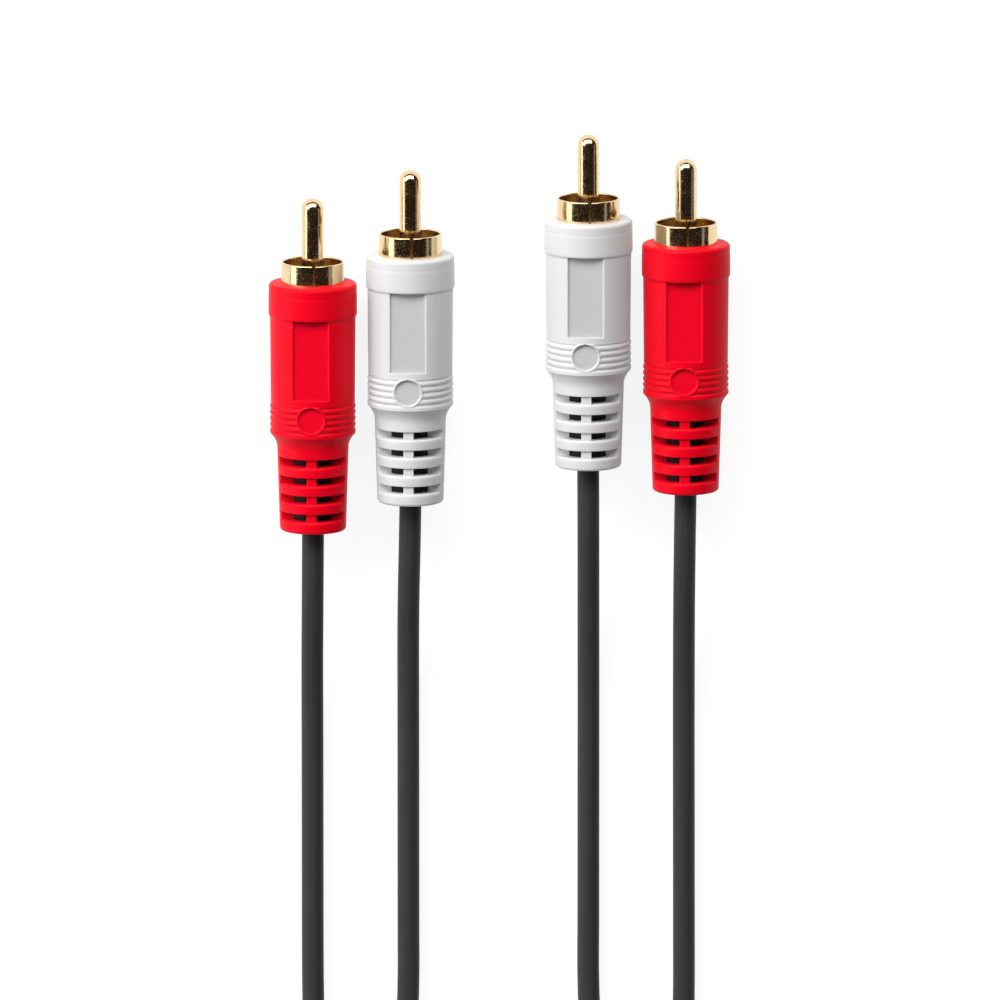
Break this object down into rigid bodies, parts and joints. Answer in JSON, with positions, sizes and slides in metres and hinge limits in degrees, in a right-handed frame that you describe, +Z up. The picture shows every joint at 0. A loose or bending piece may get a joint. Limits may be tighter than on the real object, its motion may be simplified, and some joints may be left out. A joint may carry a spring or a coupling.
{
  "type": "stereo phono lead",
  "caption": "Stereo audio lead with a red and a white moulded phono plug at each end, each on its own dark cord; the cords join in a tied coil.",
  "frame": {"origin": "middle of the footprint of the four plugs, on the table they lie on", "axes": "+X across the row of plugs, +Y the way the plugs point, +Z up"},
  "size_m": [0.078, 0.2528, 0.0149],
  "materials": {
    "red_pvc": "satin moulded",
    "white_pvc": "satin moulded",
    "black_mould": "matt moulded",
    "gold_plate": "polished plate",
    "bush_plastic": "moulded",
    "copper_wire": "bare drawn",
    "core_plastic": "extruded",
    "cord_jacket": "satin extruded",
    "tie_plastic": "satin"
  },
  "bodies": {
    "root": {"left_red_boot": "red_pvc", "left_red_inner_mould": "black_mould", "left_red_ground_shell": "gold_plate", "left_red_insulator": "bush_plastic", "left_red_centre_pin": "gold_plate", "left_red_core_conductor": "copper_wire", "left_red_core_insulation": "core_plastic", "left_red_shield_wires": "copper_wire", "left_red_lead": "cord_jacket", "left_white_boot": "white_pvc", "left_white_inner_mould": "black_mould", "left_white_ground_shell": "gold_plate", "left_white_insulator": "bush_plastic", "left_white_centre_pin": "gold_plate", "left_white_core_conductor": "copper_wire", "left_white_core_insulation": "core_plastic", "left_white_shield_wires": "copper_wire", "left_white_lead": "cord_jacket", "right_white_boot": "white_pvc", "right_white_inner_mould": "black_mould", "right_white_ground_shell": "gold_plate", "right_white_insulator": "bush_plastic", "right_white_centre_pin": "gold_plate", "right_white_core_conductor": "copper_wire", "right_white_core_insulation": "core_plastic", "right_white_shield_wires": "copper_wire", "right_white_lead": "cord_jacket", "right_red_boot": "red_pvc", "right_red_inner_mould": "black_mould", "right_red_ground_shell": "gold_plate", "right_red_insulator": "bush_plastic", "right_red_centre_pin": "gold_plate", "right_red_core_conductor": "copper_wire", "right_red_core_insulation": "core_plastic", "right_red_shield_wires": "copper_wire", "right_red_lead": "cord_jacket", "lead_coil": "cord_jacket", "coil_tie": "tie_plastic"}
  },
  "joints": []
}
